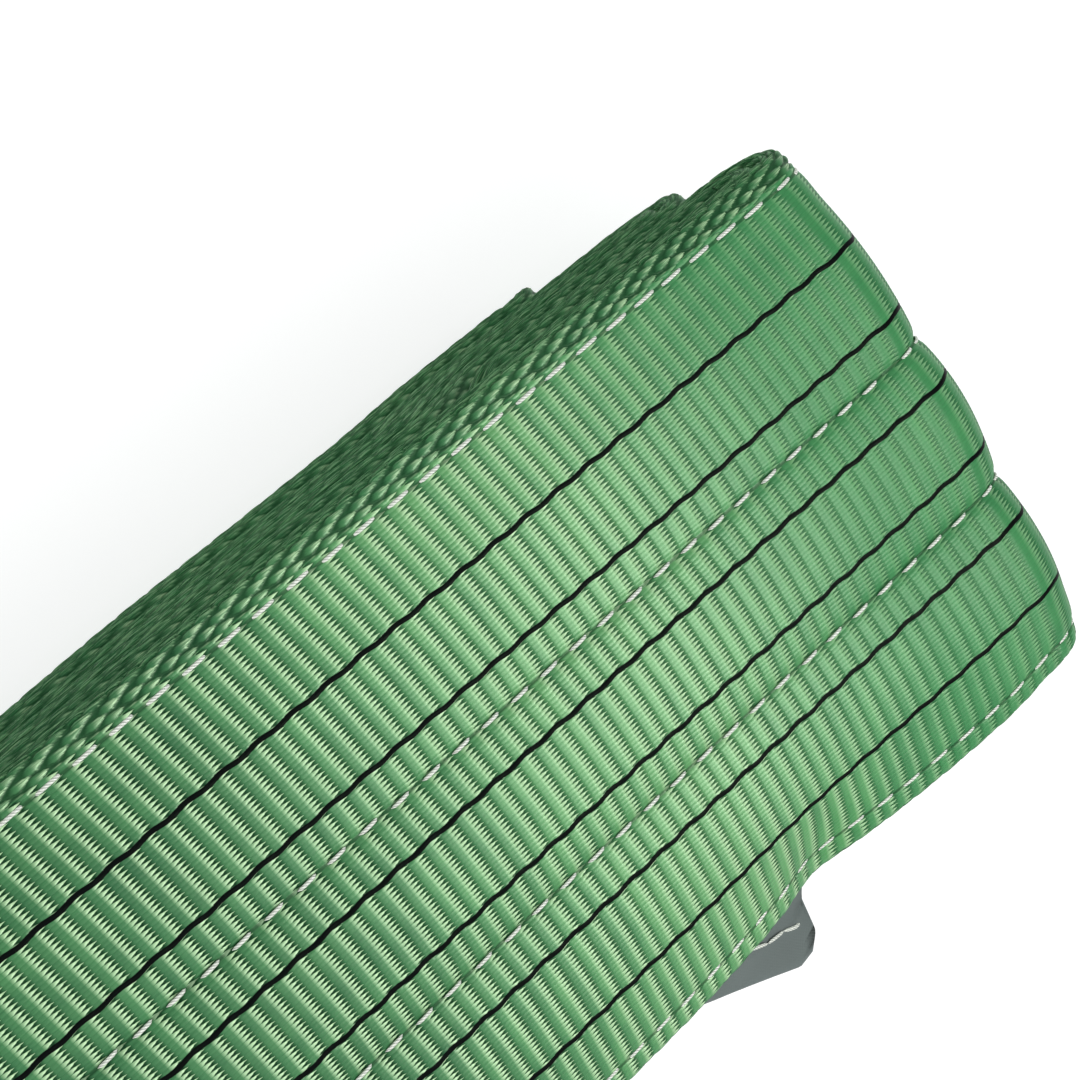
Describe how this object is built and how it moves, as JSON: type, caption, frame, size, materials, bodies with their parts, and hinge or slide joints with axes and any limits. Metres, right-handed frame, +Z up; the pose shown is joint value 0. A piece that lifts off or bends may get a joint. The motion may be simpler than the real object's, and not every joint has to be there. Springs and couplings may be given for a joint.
{
  "type": "flat web sling",
  "caption": "Flat duplex webbing sling with sleeved soft eyes, folded back and forth into a flat bundle, with a turn-up label.",
  "frame": {"origin": "on the underside, on the bundle's middle line, midway between the axes of its outermost folds", "axes": "+X along the bundle to the end where the top layer turns down, +Y across the web, +Z up through the layers"},
  "size_m": [0.463, 0.071, 0.0415],
  "materials": {
    "web_green": "woven polyester, soft sheen, ribbed across its width",
    "sleeve_grey": "matt grey close-woven fabric",
    "thread_white": "off-white twisted polyester thread",
    "label_blue": "plain blue coated label fabric, blank",
    "label_clear": "clear film cover"
  },
  "bodies": {
    "run_6": {"ply_a_run_6": "web_green", "ply_b_run_6": "web_green", "eye_b_stitching": "thread_white", "ply_a_fold_5": "web_green", "ply_b_fold_5": "web_green"},
    "run_5": {"ply_a_run_5": "web_green", "ply_b_run_5": "web_green", "ply_a_fold_4": "web_green", "ply_b_fold_4": "web_green"},
    "run_4": {"ply_a_run_4": "web_green", "ply_b_run_4": "web_green", "ply_a_fold_3": "web_green", "ply_b_fold_3": "web_green"},
    "run_3": {"ply_a_run_3": "web_green", "ply_b_run_3": "web_green", "ply_a_fold_2": "web_green", "ply_b_fold_2": "web_green"},
    "run_2": {"ply_a_run_2": "web_green", "ply_b_run_2": "web_green", "run_2_seam_thread_1": "thread_white", "run_2_seam_thread_2": "thread_white", "run_2_seam_thread_3": "thread_white", "run_2_seam_thread_4": "thread_white", "label_tab": "label_blue", "label_stitching": "thread_white", "ply_a_fold_1": "web_green", "ply_b_fold_1": "web_green"},
    "run_1_and_eye_a": {"ply_a_run_1": "web_green", "ply_b_run_1": "web_green", "eye_a_stitching": "thread_white", "eye_a_loop": "web_green", "eye_a_sleeve": "sleeve_grey", "eye_a_sleeve_thread": "thread_white"},
    "eye_b": {"eye_b_loop": "web_green", "eye_b_sleeve": "sleeve_grey", "eye_b_sleeve_thread": "thread_white"},
    "label_flap": {"label_flap": "label_blue", "label_cover": "label_clear"}
  },
  "joints": [
    {"name": "fold_5_hinge", "type": "hinge", "parent": "run_6", "child": "run_5", "pos_m": [0.208, 0, 0.0062], "axis": [0, 1, 0], "range_deg": [0, 170], "deforming": ["ply_a_fold_5", "ply_b_fold_5"]},
    {"name": "fold_4_hinge", "type": "hinge", "parent": "run_5", "child": "run_4", "pos_m": [-0.221, 0, 0.0156], "axis": [0, -1, 0], "range_deg": [0, 170], "deforming": ["ply_a_fold_4", "ply_b_fold_4"]},
    {"name": "fold_3_hinge", "type": "hinge", "parent": "run_4", "child": "run_3", "pos_m": [0.22225, 0, 0.0192], "axis": [0, 1, 0], "range_deg": [0, 170], "deforming": ["ply_a_fold_3", "ply_b_fold_3"]},
    {"name": "fold_2_hinge", "type": "hinge", "parent": "run_3", "child": "run_2", "pos_m": [-0.225, 0, 0.0286], "axis": [0, -1, 0], "range_deg": [0, 170], "deforming": ["ply_a_fold_2", "ply_b_fold_2"]},
    {"name": "fold_1_hinge", "type": "hinge", "parent": "run_2", "child": "run_1_and_eye_a", "pos_m": [0.225, 0, 0.03415], "axis": [0, -1, 0], "range_deg": [0, 170], "deforming": ["ply_a_fold_1", "ply_b_fold_1"]},
    {"name": "eye_b_swing", "type": "hinge", "parent": "run_6", "child": "eye_b", "pos_m": [-0.031, 0, 0], "axis": [0, -1, 0], "range_deg": [0, 90]},
    {"name": "label_flap_lift", "type": "hinge", "parent": "run_2", "child": "label_flap", "pos_m": [-0.125, 0, 0.03655], "axis": [0, 1, 0], "range_deg": [0, 160]}
  ],
  "couplings": [
    {"joint": "fold_1_hinge", "follows": "fold_2_hinge", "ratio": 1}
  ]
}
